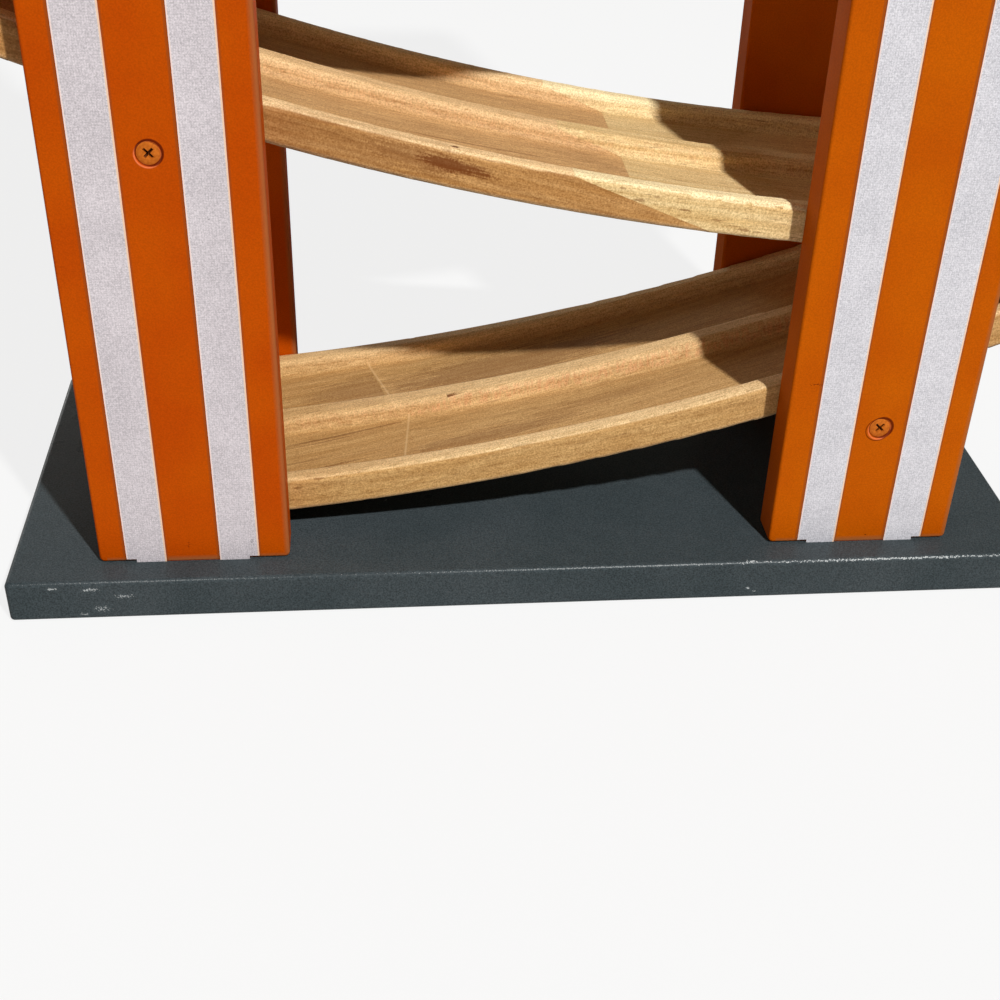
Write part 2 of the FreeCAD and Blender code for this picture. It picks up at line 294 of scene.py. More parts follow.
# %% Pine
RING_SPACING = 4.2
RING_WANDER = 20.0
RING_WOBBLE = 3.0
FIBRE_WIDTH = 0.7
RESIN_LINE_WIDTH = 0.5
PORE_SIZE = 0.6
RIPPLE_PITCH = 1.5
LANE_FLOOR_DARKENING = 0.08
LACQUER_IOR = 1.5
# The wood's colour is multiplied by these: darker and browner in a pore, lighter on a fibre
PORE_TINT = (0.66, 0.57, 0.46, 1.0)
FIBRE_TINT = (1.30, 1.36, 1.44, 1.0)
GLUE_LINE = 0.6
# Heights above a ramp's underside, and distances out from its middle, in mm. A pair is the range
# over which one zone turns into the next
FLOOR_END = (8.2, 9.4)
TOP_START = (14.3, 13.2)
RUBBED_TOP = 13.6
SIDE_FACE = (54.6, 54.2)
LOW_EDGE_BAND = (2.2, 0.3)
MIDDLE_TO_OUTER = (20.0, 40.0)
GLUE_FLOOR = (9.6, 8.4)
MIDDLE_RIDGE_REACH = 25.0
OUTER_LANE_EDGE = 47.0
# A mark's ragged distance, from its rim to where it is full
MARK_RIM = (2.4, 1.55)
LANE_FLOOR_BROWN, RIPPLE_PINK, LOW_EDGE_GREY, GLUE = "#6A4520", "#D8966A", "#A8957A", "#EBCB9A"


def pine(name, middle, turn, heart, tones, seed, marks=(), flecks=0.5, level=None, glue=None,
         pale=(0.1, 0.6, 0.7, 0.0), fade=None, ripple_tone=0.12, light_patch=None):
    """Sanded pine with a thin clear lacquer, which gives pale wood a dull, even sheen.

    middle: the board's middle in mm. turn: the turn, in degrees, that lays the grain along X.
    heart: (across, up) in mm from there to the log's heart. tones: pale, warm, ring, mark and
    rubbed-and-lit colours, the last partly wear and partly painted highlight. marks: dark spots,
    each a place, half sizes along and across the grain in mm, and a strength. flecks: how dark the
    resin lines are. level: the ramp's, for a ramp's board. glue: where the glue line crosses a
    lane's floor, as (x, slant, bend, step, weight). pale: how much the lanes, the middle ridge, the
    outer ridges and the sides are made paler, partly as wear and partly as painted highlight on the
    faces that catch the lamp. fade: the x where that starts and where it is full. ripple_tone: how
    much the cutter's ripples show on the ridges' slopes. light_patch: a spot of painted light that
    lightens wood lying in shade, as (place, half sizes, strength).
    """
    material, tree, surface, in_mm = start_material(name)
    centred = add(tree, "VectorMath SUBTRACT", in_mm, middle)
    angles = [math.radians(angle) for angle in turn]
    grain = add(tree, "Mapping", {"Vector": centred, "Rotation": angles})

    def streaky(length, width, detail, shift=0.0):
        """Noise drawn out along the grain: its features' length and width in mm."""
        space = add(tree, "Mapping",
                    {"Vector": grain, "Location": (seed * 11.0 + shift, seed * 3.0, shift),
                     "Scale": (1 / length, 1 / width, 1 / width)})
        return add(tree, "TexNoise", space, 1.0, detail)

    # The log bends a little, so its rings wander over a hand's width and wobble over a finger's
    from_heart = add(tree, "VectorMath SUBTRACT", grain, (0.0, heart[0], heart[1]))
    flat = add(tree, "VectorMath MULTIPLY", from_heart, (0.0, 1.0, 1.0))
    radius = add(tree, "VectorMath LENGTH", flat)
    wander = streaky(160.0, 45.0, 2.0)
    bent = add(tree, "Math MULTIPLY_ADD", wander, RING_WANDER, radius)
    wobble = streaky(45.0, 5.0, 3.0, 5.0)
    bent = add(tree, "Math MULTIPLY_ADD", wobble, RING_WOBBLE, bent)
    years = add(tree, "Math MULTIPLY", bent, 1 / RING_SPACING)
    season = add(tree, "Math FRACT", years)
    late = add(tree, "ValToRGB", {"Fac": season})
    late.color_ramp.interpolation = "EASE"
    for stop in (0, 1):
        late.color_ramp.elements[stop].color = (0.25, 0.25, 0.25, 1)
    for place, darkness in ((0.15, 0.0), (0.5, 0.15), (0.85, 1.0)):
        late.color_ramp.elements.new(place).color = (darkness, darkness, darkness, 1)
    which_year = add(tree, "Math FLOOR", years)
    year = add(tree, "TexWhiteNoise", {"W": which_year}, noise_dimensions="1D")
    depth = add(tree, "MapRange", year, 0.0, 1.0, 0.04, 0.5)
    rings = add(tree, "Math MULTIPLY", late, depth)

    streaks = streaky(70.0, 3.2, 4.0, 9.0)
    tone = add(tree, "MapRange", streaks, 0.36, 0.64)
    colour = add(tree, "Mix RGBA", tone, linear(tones[0]), linear(tones[1]))
    colour = add(tree, "Mix RGBA", rings, colour, linear(tones[2]))
    # Fibres and pores are finer than they are drawn here, which would be too fine to show
    fibres = streaky(16.0, FIBRE_WIDTH, 2.0, 2.0)
    pores = add(tree, "TexNoise", in_mm, 1 / PORE_SIZE, 1.0)
    shade = add(tree, "Math MULTIPLY_ADD", pores, 1.6, fibres)
    shade = add(tree, "MapRange", shade, 0.8, 1.8)
    shade = add(tree, "Mix RGBA", shade, PORE_TINT, FIBRE_TINT)

    if level is not None:
        # On a ramp, a point's height above the underside tells its lanes from its ridges
        centre = (turned(level) * RAMP_LOWEST_X, 0, RING_Z + level * LEVEL_PITCH)
        spoke = add(tree, "VectorMath SUBTRACT", in_mm, centre)
        spoke = add(tree, "VectorMath MULTIPLY", spoke, (1, 0, 1))
        spoke = add(tree, "VectorMath LENGTH", spoke)
        height = add(tree, "Math SUBTRACT", RAMP_RADIUS, spoke)
        x, y = add(tree, "SeparateXYZ", in_mm).outputs[:2]
        aside = add(tree, "Math ABSOLUTE", y)
        above_lane = add(tree, "MapRange", height, *FLOOR_END)
        below_top = add(tree, "MapRange", height, *TOP_START)
        inside = add(tree, "MapRange", aside, *SIDE_FACE)
        slope = add(tree, "Math MULTIPLY", above_lane, below_top)
        slope = add(tree, "Math MULTIPLY", slope, inside)
        across = add(tree, "Mapping", {"Vector": in_mm, "Scale": (1 / RIPPLE_PITCH, 0.16, 0.16)})
        ripples = add(tree, "TexNoise", across, 1.0, 2.0)
        ripple = add(tree, "MapRange", ripples, 0.45, 0.58, 0.0, ripple_tone)
        ripple = add(tree, "Math MULTIPLY", ripple, slope)
        on_middle = add(tree, "Math LESS_THAN", aside, MIDDLE_RIDGE_REACH)
        ripple = add(tree, "Math MULTIPLY", ripple, on_middle)
        # The ridges and sides are made paler: partly wear, partly painted highlight that lightens
        # the faces which catch the lamp
        outer = add(tree, "MapRange", aside, *MIDDLE_TO_OUTER, pale[1], pale[2])
        rise = add(tree, "MapRange", height, LANE_HEIGHT, RUBBED_TOP, pale[0], outer)
        rise = add(tree, "Math SUBTRACT", rise, pale[3])
        rise = add(tree, "Math MULTIPLY_ADD", rise, inside, pale[3])
        # A spot of painted light lightens wood that lies in shade
        if light_patch:
            away = spot_distance(tree, in_mm, *light_patch[:2])
            patched = add(tree, "MapRange", away, 1.0, 0.6, 0.0, light_patch[2],
                          interpolation_type="SMOOTHSTEP")
            rise = add(tree, "Math MAXIMUM", rise, patched)
        if fade:
            along = add(tree, "MapRange", x, *fade)
            rise = add(tree, "Math MULTIPLY", rise, along)
        colour = add(tree, "Mix RGBA", rise, colour, linear(tones[4]))
        # The lanes' floors are made a little darker
        lane = add(tree, "Math SUBTRACT", inside, above_lane)
        lane = add(tree, "Math MULTIPLY", lane, LANE_FLOOR_DARKENING)
        colour = add(tree, "Mix RGBA", lane, colour, linear(LANE_FLOOR_BROWN))
        colour = add(tree, "Mix RGBA", ripple, colour, linear(RIPPLE_PINK))
        # Towards the underside the sides turn greyer, over the lowest 2 mm
        low_edge = add(tree, "MapRange", height, *LOW_EDGE_BAND, 0.0, 0.6)
        colour = add(tree, "Mix RGBA", low_edge, colour, linear(LOW_EDGE_GREY))
    colour = add(tree, "Mix RGBA", 1.0, colour, shade, blend_type="MULTIPLY")

    dark = add(tree, "MapRange", streaky(9.0, RESIN_LINE_WIDTH, 1.0, 7.0), 0.68, 0.76, 0.0, flecks)
    # Pores and fibres fray the rim of every mark, as stain creeps along the grain
    ragged = add(tree, "Math MULTIPLY_ADD", pores, streaky(14.0, 2.0, 2.0, 3.0), fibres)
    straighten = Matrix.Rotation(angles[2], 3, "Z") @ Matrix.Rotation(angles[1], 3, "Y")
    for place, half_sizes, weight in marks:
        local = straighten @ (Vector(place) - Vector(middle))
        away = spot_distance(tree, grain, local, half_sizes)
        away = add(tree, "Math MULTIPLY_ADD", ragged, 1.3, away)
        mark = add(tree, "MapRange", away, *MARK_RIM, 0.0, weight,
                   interpolation_type="SMOOTHSTEP")
        dark = add(tree, "Math MAXIMUM", dark, mark)
    colour = add(tree, "Mix RGBA", dark, colour, linear(tones[3]))
    if glue:
        line_x, slant, bend, step, glue_weight = glue
        off = add(tree, "Math MULTIPLY", x, turned(level))
        to_rear = add(tree, "Math MULTIPLY", y, turned(level))
        which_lane = add(tree, "Math SIGN", to_rear)
        for value, weight in ((to_rear, slant), (aside, bend), (which_lane, step)):
            off = add(tree, "Math MULTIPLY_ADD", value, -weight, off)
        off = add(tree, "Math MULTIPLY_ADD", pores, 1.2, apart(tree, off, line_x))
        line = add(tree, "MapRange", off, GLUE_LINE + 0.6, 0.6, 0.0, glue_weight)
        in_lane = add(tree, "MapRange", height, *GLUE_FLOOR)
        line = add(tree, "Math MULTIPLY", line, in_lane)
        between = add(tree, "Math LESS_THAN", aside, OUTER_LANE_EDGE)
        line = add(tree, "Math MULTIPLY", line, between)
        colour = add(tree, "Mix RGBA", line, colour, linear(GLUE))
    roughness = add(tree, "MapRange", fibres, 0.0, 1.0, 0.5, 0.72)
    relief = add(tree, "Math SUBTRACT", fibres, rings)
    relief = add(tree, "Math MULTIPLY_ADD", pores, 0.5, relief)
    set_surface(tree, surface, {"Base Color": colour, "Roughness": roughness, "IOR": LACQUER_IOR,
                                "Specular IOR Level": 0.15}, relief, 0.4, 0.06)
    return material


print("pine: a ring every", RING_SPACING, "mm")

# %% [markdown]
# ## One board after another
#
# Every board gets its own log: its own heart, tones and slope. The lower board of the lowest ramp
# is paler and greyer than its neighbour, and the second ramp pairs a brown board with a pale,
# speckled one, so the slanted glue joints show, as they do on the real toy. Dashes, the streak by
# the joint and the small knot were placed from the photograph, and so was the lowest ramp's glue
# line, which bends at the middle ridge.

# %% The ramps' boards
SCARF_JOINTS = ((-23.0, -84.0), (-5.0, -66.0), (-30.0, -91.0), (6.0, -55.0))
LOW_END_X = -135.5
HIGH_END_X = 195.8
# A spot of painted light on the second ramp's lower board, where it lies in shade
PAINTED_LIGHT_PATCH = ((122.0, 14.0, 148.0), (42.0, 52.0, 30.0), 0.6)
LOWEST_GLUE_LINE = (-49.4, -0.1015, -0.1885, -2.1, 0.42)

# Each board's tones: pale, warm, ring, mark, and the colour its ridges are made paler towards,
# partly wear and partly painted highlight
GREY_PINE = ("#C69C62", "#B6894E", "#9C6F3A", "#6A3B16", "#E9C793")
WARM_PINE = ("#D6B37D", "#C69B60", "#AB7C46", "#683A16", "#E8C594")
BROWN_PINE = ("#C4955D", "#B07E46", "#8C5B2A", "#6A2E00", "#EFCC99")
PALE_PINE = ("#E5C892", "#DAB77C", "#C69C62", "#7E4E22", "#F6E2B2")
BOARD_TONES = ((GREY_PINE, GREY_PINE), (PALE_PINE, BROWN_PINE), (WARM_PINE, PALE_PINE),
               (GREY_PINE, WARM_PINE))
# How much each board's lanes, middle ridge, outer ridges and sides are made paler: partly wear,
# partly painted highlight
PALE_WEAR_AND_HIGHLIGHT = (((0.2, 0.75, 1.0, 0.12), (0.2, 0.75, 1.0, 0.12)),
          ((0.15, 0.1, 0.95, 0.0), (0.3, 0.7, 1.0, 0.0)),
          ((0.1, 0.6, 0.7, 0.0), (0.1, 0.6, 0.7, 0.0)),
          ((0.2, 0.6, 0.7, 0.0), (0.1, 0.6, 0.7, 0.0)))
# For each ramp's low and high board: heart across and up from the board, and the grain's swing
LOGS = (((-34.0, -62.0, 9.0), (48.0, -70.0, 5.0)), ((20.0, 75.0, -2.0), (-26.0, -55.0, 3.0)),
        ((30.0, -66.0, -3.0), (-40.0, -80.0, 2.0)), ((-22.0, 70.0, 4.0), (36.0, -58.0, -3.0)))

# On the lowest ramp, the first mark of each board is a broad, soft darkening over the rear lane
LOWEST_LOW_MARKS = (
    ((-62, 24, 43), (30, 13, 9), 0.30),
    ((-76, -13.4, 40.3), (26, 0.7, 3), 0.55),
    ((-84, -17, 39.1), (14, 0.5, 3), 0.40),
    ((-92, -31, 38.3), (16, 0.5, 3), 0.35),
    ((-78, -36.5, 40.1), (9, 0.6, 3), 0.50),
    ((-70, -44, 41.4), (11, 0.6, 3), 0.40),
    ((-85, -54, 45), (4, 1.5, 0.5), 0.55),
    ((-77.1, -55, 47.2), (3, 1.5, 0.4), 0.65),
    ((-94, -55, 41), (1.2, 1, 0.8), 0.45),
)
LOWEST_HIGH_MARKS = (
    ((-5, 24, 52), (50, 13, 9), 0.44),
    ((-17, -32.5, 49.6), (40, 4.5, 7), 0.36),
    ((30, -22, 60.4), (34, 3, 6), 0.22),
    ((-63.6, -55, 45.8), (2.6, 1.5, 0.5), 0.75),
    ((-55.5, -55, 48), (2.4, 1.5, 0.4), 0.65),
    ((-51.4, -53.1, 50.7), (3.6, 0.9, 1.2), 0.55),
    ((-45, -55, 50.1), (1.8, 1.5, 0.4), 0.65),
    ((-33.8, -53.4, 53.8), (4.2, 0.6, 1.2), 0.70),
    ((-25.7, -54.2, 55.4), (3, 0.6, 1.2), 0.60),
    ((-13, -55.5, 58.2), (2, 0.9, 0.9), 0.45),
    ((-35.5, -5, 53.6), (12, 0.8, 2), 0.9),
    ((36, -9, 64.9), (14, 0.5, 3), 0.45),
)
SECOND_HIGH_MARKS = (
    ((-34, -55, 176.2), (13, 4, 2.6), 0.85),
    ((-22.5, -55, 172.5), (6, 4, 0.7), 0.80),
    ((-46, -55, 179.5), (22, 4, 4.2), 0.42),
    ((-31.8, -51.5, 181.2), (1.4, 1, 2), 0.90),
    ((-62, -55, 182.6), (16, 4, 1.4), 0.30),
    ((-80, -55, 187), (55, 4, 14), 0.24),
    ((-20, -25, 172), (34, 0.5, 5), 0.45),
    ((-28, -33, 174), (26, 0.5, 5), 0.35),
)
SECOND_LOW_MARKS = (
    ((28.9, -55, 167), (1.2, 1.2, 0.5), 0.55),
    ((35.6, -55, 162.3), (1.8, 1.2, 0.5), 0.60),
    ((41.7, -55, 163.4), (1.4, 1.2, 0.4), 0.50),
    ((52.6, -55, 158.3), (2.2, 1.2, 0.5), 0.60),
    ((64.9, -55, 154.2), (1.6, 1.2, 0.4), 0.55),
    ((75.9, -55, 150.2), (2.4, 1.2, 0.5), 0.60),
    ((80.6, -55, 149.3), (1.4, 1.2, 0.4), 0.50),
)
MARKS = {(0, 0): LOWEST_LOW_MARKS, (0, 1): LOWEST_HIGH_MARKS,
         (1, 0): SECOND_LOW_MARKS, (1, 1): SECOND_HIGH_MARKS}


def dress(node, material):
    """Put one material on a CAD node."""
    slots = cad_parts[node].data.materials
    slots.clear()
    slots.append(material)


for level in range(4):
    x_top, x_bottom = SCARF_JOINTS[level]
    for board, (start, end) in enumerate(((LOW_END_X, x_top), (x_bottom, HIGH_END_X))):
        middle_x, middle_z, slope = on_ramp(level, (start + end) / 2, RAMP_THICKNESS / 2)
        node = f"ramp_{level + 1}_{'high' if board else 'low'}_board"
        across, up, swing = LOGS[level][board]
        tones = BOARD_TONES[level][board]
        material = pine("pine_" + node, (middle_x, 0, middle_z), (0, slope, -swing), (across, up),
                        tones, seed=level * 2.0 + board + 1.0,
                        marks=MARKS.get((level, board), ()), level=level,
                        flecks=0.75 if tones is PALE_PINE else 0.5,
                        glue=None if level else LOWEST_GLUE_LINE,
                        pale=PALE_WEAR_AND_HIGHLIGHT[level][board], fade=None if level else (-190.0, -10.0),
                        light_patch=PAINTED_LIGHT_PATCH if node == "ramp_2_low_board" else None,
                        ripple_tone=0.4 if node == "ramp_1_high_board" else 0.12)
        dress(node, material)
        print(node, "slopes by", round(slope, 1), "degrees")

# %% [markdown]
# ## Rails, end stops and dowels
#
# The cross rails and the end stops are pine too, but their grain runs across the toy, so their
# log is turned by a quarter. The dowels are beech: harder, pinker and speckled with short dark
# flecks rather than striped. They are hidden in their holes, and seen when the toy is taken apart.

# %% Rails, end stops and dowels
BEECH_FLECK_WIDTH = 0.4


def beech():
    """Turned beech dowel, raw: pinkish, even, with short brown ray flecks."""
    material = bpy.data.materials.new("beech_dowel")
    material.use_nodes = True
    tree = material.node_tree
    surface = tree.nodes["Principled BSDF"]
    spot = add(tree, "TexCoord").outputs["Object"]
    lengthwise = add(tree, "Mapping",
                     {"Vector": spot,
                      "Scale": (1 / (BEECH_FLECK_WIDTH * MM), 0.12 / MM,
                                1 / (BEECH_FLECK_WIDTH * MM))})
    flecks = add(tree, "TexNoise", lengthwise, 1.0, 2.0)
    fleck = add(tree, "MapRange", flecks, 0.5, 0.7)
    colour = add(tree, "Mix RGBA", fleck, linear("#DDB48C"), linear("#B98558"))
    set_surface(tree, surface, {"Base Color": colour, "Roughness": 0.6}, fleck, 0.3, 0.05)
    return material


dowel_wood = beech()
for number in range(1, 5):
    for kind, tones in (("cross_rail", WARM_PINE), ("end_stop", GREY_PINE)):
        node = f"{kind}_{number}"
        low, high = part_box(node)
        dress(node, pine("pine_" + node, (low + high) / 2 / MM, (0, 0, -90.0),
                         (20.0 + 9.0 * number, -48.0), tones,
                         seed=20.0 + number + (5.0 if kind == "end_stop" else 0.0)))
    dress(f"low_end_dowels_{number}", dowel_wood)
print("rails and stops: grain across the toy")

# %% [markdown]
# ## Satin paint
#
# The posts are painted orange and the base slate grey: a sprayed lacquer with the faint dimples
# of orange peel and a slightly uneven tone. The orange is nearly matte, so it stays deep, and the
# slate has a soft sheen. Paint pulls thin over sharp edges, so an edge wears first. A lighter line
# along the edges, on every side but the left, away from the lamp, is partly that thin paint and
# partly painted highlight. How far a point is from a board's nearest edge is worked out from the
# board's own size: on any face one of the three distances to the sides is nought, and the next
# smallest is the distance to the edge.

# %% Paint, worn at its edges
PEEL_SIZE = 1.3
POST_FACE_Y = 70.5
SPOT_RIM = (2.15, 1.95)
SEAM_BROWN, GLINT_ORANGE = "#84461E", "#E87848"


def edge_distance(tree, in_mm, middle, half_size):
    """How far, in mm, a point of a box's skin is from the box's nearest edge."""
    offset = add(tree, "VectorMath SUBTRACT", in_mm, middle)
    offset = add(tree, "VectorMath ABSOLUTE", offset)
    inside = add(tree, "VectorMath SUBTRACT", half_size, offset)
    sides = add(tree, "SeparateXYZ", inside)
    x, y, z = sides.outputs
    total = add(tree, "VectorMath DOT_PRODUCT", inside, (1, 1, 1))
    most = add(tree, "Math MAXIMUM", x, y)
    most = add(tree, "Math MAXIMUM", most, z)
    return add(tree, "Math SUBTRACT", total, most)


def paint(name, middle, half_size, tones, wear, sheen, roughness, chips=(), stains=(), rings=(),
          glints=(), seams=(), thinned=0.0, grain=0.12):
    """Sprayed lacquer: dimpled like orange peel, which breaks a reflection into soft grains.

    tones: paint, its slow variation, its thin edge, which also stands for a painted highlight on
    the
    edges, what shows where it is worn off, and a dark tone for stains and for painted shade. wear:
    how far wear reaches from an edge in mm. chips and stains: spots, each a place, half sizes in mm
    and a strength; the base's chips include a painted highlight along its front edge. rings and
    glints: dark and bright rings, each a centre, a radius and half a width; the glints are painted
    highlight, and the rings round the screws are painted shade, but for one slip mark. seams: the
    brown lines beside the stripes, each a middle and half a width along X in mm. thinned: how far
    in mm the paint is thinned from an edge. grain: how strong the fine mottle is.
    """
    material, tree, surface, in_mm = start_material(name)
    slow = add(tree, "TexNoise", in_mm, 0.03, 3.0)
    peel = add(tree, "TexNoise", in_mm, 1 / PEEL_SIZE, 1.5)
    grit = add(tree, "TexNoise", in_mm, 1.6, 2.0)

    cloud = add(tree, "MapRange", slow, 0.35, 0.65)
    colour = add(tree, "Mix RGBA", cloud, linear(tones[0]), linear(tones[1]))
    speckle = add(tree, "MapRange", grit, 0.3, 0.7, 1 - grain, 1 + grain)
    colour = add(tree, "Mix RGBA", 1.0, colour, speckle, blend_type="MULTIPLY")
    to_edge = edge_distance(tree, in_mm, middle, half_size)
    x, y = add(tree, "SeparateXYZ", in_mm).outputs[:2]
    out = add(tree, "Math ABSOLUTE", y)
    on_face = add(tree, "Math GREATER_THAN", out, POST_FACE_Y - 0.5)
    # A lighter line along the edges, partly thin paint and partly painted highlight, is left off
    # the left edges, which face away from the lamp. A board that isn't thinned still gets a narrow
    # one
    lined = add(tree, "MapRange", to_edge, max(thinned, 0.9), 0.2, 0.0, 0.85 if thinned else 0.6)
    off_left = add(tree, "Math GREATER_THAN", x, middle.x - half_size.x + 3.0)
    thin = add(tree, "Math MULTIPLY", lined, off_left)
    colour = add(tree, "Mix RGBA", thin, colour, linear(tones[2]))
    for seam_x, half_width in seams:
        away = apart(tree, x, seam_x)
        seam = add(tree, "MapRange", away, half_width + 0.3, half_width - 0.3, 0.0, 0.6)
        seam = add(tree, "Math MULTIPLY", seam, on_face)
        colour = add(tree, "Mix RGBA", seam, colour, linear(SEAM_BROWN))

    def spots(places, level):
        """The strongest of some ragged spots."""
        for place, half_sizes, weight in places:
            away = spot_distance(tree, in_mm, place, half_sizes)
            away = add(tree, "Math MULTIPLY_ADD", grit, 3.5, away)
            spot = add(tree, "MapRange", away, *SPOT_RIM, 0.0, weight)
            level = add(tree, "Math MAXIMUM", level, spot)
        return level

    ragged = add(tree, "Math MULTIPLY_ADD", grit, -2.2 * wear, to_edge)
    bare = add(tree, "MapRange", ragged, -0.95 * wear, -1.15 * wear)
    bare = spots(chips, bare)
    colour = add(tree, "Mix RGBA", bare, colour, linear(tones[3]))
    dirt_and_shade = spots(stains, 0.0)

    def circled(circles, level):
        """The strongest of some rings."""
        for centre, radius, half_width in circles:
            away = add(tree, "VectorMath SUBTRACT", in_mm, centre)
            away = add(tree, "VectorMath LENGTH", away)
            away = apart(tree, away, radius)
            ring = add(tree, "MapRange", away, half_width + 0.15, half_width - 0.1, 0.0, 0.85)
            level = add(tree, "Math MAXIMUM", level, ring)
        return level

    # Glints are rings of painted highlight. The rings round the screws are painted shade, but for
    # one slip mark, and they take the stains' dark tone
    if glints:
        colour = add(tree, "Mix RGBA", circled(glints, 0.0), colour, linear(GLINT_ORANGE))
    dirt_and_shade = circled(rings, dirt_and_shade)
    if stains or rings:
        colour = add(tree, "Mix RGBA", dirt_and_shade, colour, linear(tones[4]))
    rough = add(tree, "MapRange", slow, 0.3, 0.7, roughness - 0.05, roughness + 0.05)
    relief = add(tree, "Math SUBTRACT", peel, bare)
    set_surface(tree, surface, {"Base Color": colour, "Roughness": rough, "IOR": LACQUER_IOR,
                                "Specular IOR Level": sheen}, relief, 0.25, 0.1)
    return material


print("paint dimples every", PEEL_SIZE, "mm")

# %% [markdown]
# ## Painted posts
#
# The paint has its own marks, which were placed from the photograph: a dark streak low on the
# left post, and a scratch and a dark spot on the right one. Round each sunk screw head lies a ring
# of painted shade, set to the upper right, where the rim shades the recess from the lamp, and a
# thin ring of painted highlight, set to the lower left, where the rim catches it. At the lowest
# screw on the right the driver slipped.

# %% Posts
SHOULDER_HEIGHT = 18.3
SCREW_X = 136.3
LOWEST_SCREW_HEIGHT = 72.1
SINK_RADIUS = 4.5
STRIPE_WIDTH = 15.6
POST_PLACES = ("front_left", "front_right", "rear_left", "rear_right")

# For each side: paint, its variation, the edge line (partly thin paint, partly painted highlight),
# what shows where it is worn, and a dark tone for stains and for painted shade
ORANGE = {"left": ("#BB4D00", "#B54500", "#92603A", "#7E2E04", "#540C02"),
          "right": ("#BE5900", "#B75100", "#92603A", "#7E2E04", "#540C02")}
POST_STAINS = {
    "front_left": (((-137.5, -70.5, 26), (0.7, 1.5, 2.4), 0.6),),
    "front_right": (((108, -70.5, 92.5), (4.5, 1.5, 0.8), 0.6),
                    ((138.7, -70.5, 20.8), (0.6, 1.5, 1.1), 0.9)),
}


def screw_height(level):
    """The height in mm of the screws that hold one ramp's cross rail."""
    return LOWEST_SCREW_HEIGHT + level * LEVEL_PITCH


for place in POST_PLACES:
    low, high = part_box("post_" + place)
    middle = (low + high) / 2 / MM
    half_size = (high - low) / 2 / MM
    middle.z = (SHOULDER_HEIGHT + high.z / MM) / 2
    half_size.z = (high.z / MM - SHOULDER_HEIGHT) / 2
    right, front = "right" in place, "front" in place
    face_y = -POST_FACE_Y if front else POST_FACE_Y
    rings = []
    glints = []
    for level in range(4):
        if (level % 2 == 0) == right:
            screw_x = SCREW_X if right else -SCREW_X
            # A ring of painted shade, set to the upper right of the sunk head, where the rim shades
            # the recess from the lamp, and a thin ring of painted highlight, set to the lower left
            rings.append(((screw_x + 0.45, face_y, screw_height(level) + 0.4), SINK_RADIUS, 0.42))
            glints.append(((screw_x - 0.2, face_y, screw_height(level) - 0.35), SINK_RADIUS, 0.2))
    if place == "front_right":
        rings.append(((SCREW_X - 0.8, face_y, screw_height(0) - 0.5), 4.9, 0.16))
    film_low, film_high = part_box("stripes_" + place)
    film_low, film_high = film_low.x / MM, film_high.x / MM
    seams = [(edge - 0.5, 0.6) for edge in (film_low, film_high - STRIPE_WIDTH)]
    seams += [(edge + 0.3, 0.4) for edge in (film_low + STRIPE_WIDTH, film_high)]
    dress("post_" + place, paint("orange_paint_" + place, middle, half_size,
                                 ORANGE["right" if right else "left"], wear=0.25,
                                 sheen=0.04, roughness=0.55, rings=rings, glints=glints,
                                 seams=seams, thinned=2.4,
                                 stains=POST_STAINS.get(place, ())))
    print("post_" + place, "has", len(rings), "dark rings")

# %% [markdown]
# ## Painted base
#
# The base is knocked most. Crumbled chips lie low on its front, and a bright line along its front
# edge is a painted highlight on the rounded edge, with some rubbed paint in it. They too were
# placed from the photograph.

# %% Base
# The pale fourth tone shows in the chips and in the painted highlight along the front edge
SLATE = ("#41484B", "#3A4245", "#474F53", "#BCC1C2", "#1E2224")
BASE_CHIPS_AND_EDGE_HIGHLIGHT = (
    ((-190, -83.6, 15.4), (3.6, 1, 0.9), 0.8),
    ((-176, -83.6, 14.5), (4.4, 1, 1.3), 0.8),
    ((-163, -83.6, 11), (4.6, 1, 1.3), 0.6),
    ((-172, -83.6, 5), (4.6, 1, 1.8), 0.6),
    ((-179, -83.6, 2.6), (3, 1, 0.8), 0.5),
    ((88, -83.6, 5), (1.4, 1, 1), 0.9),
    ((90.5, -83.6, 3.4), (1.4, 1, 0.4), 0.6),
    ((-58.8, -30.9, 18), (0.6, 0.6, 0.6), 0.9),
    # These three long thin spots are a painted highlight along the rounded front edge, brightest
    # towards the lamp, with some rubbed paint
    ((-150, -83.1, 17.5), (90, 0.5, 0.5), 0.25),
    ((40, -83.1, 17.5), (150, 0.6, 0.6), 0.35),
    ((150, -83.1, 17.5), (90, 0.8, 0.8), 0.85),
    ((88, -82.6, 17.7), (3.2, 1.2, 1), 0.95),
)
low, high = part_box("base_board")
dress("base_board", paint("slate_paint", (low + high) / 2 / MM, (high - low) / 2 / MM, SLATE,
                          wear=0.35, sheen=0.08, roughness=0.3, chips=BASE_CHIPS_AND_EDGE_HIGHLIGHT,
                          grain=0.4))
print("base: chips and rubbed places", len(BASE_CHIPS_AND_EDGE_HIGHLIGHT))

# %% [markdown]
# ## White stripes
#
# Two white stripes run down each post's face. They are a thin matte film with the fine cloth-like
# weave of canvas, faint and slightly lilac beside the orange. A cream line along each edge is a
# painted highlight where the film's raised edge catches the light. The threads would be too fine to
# see at this distance, so they are drawn a little coarser than they are.

# %% White film
THREAD_SPACING = 0.9
LIT_EDGE_WIDTH = 0.6
STAIN_RIM = (1.9, 1.4)
FILM_DIRT = "#5E5A5C"


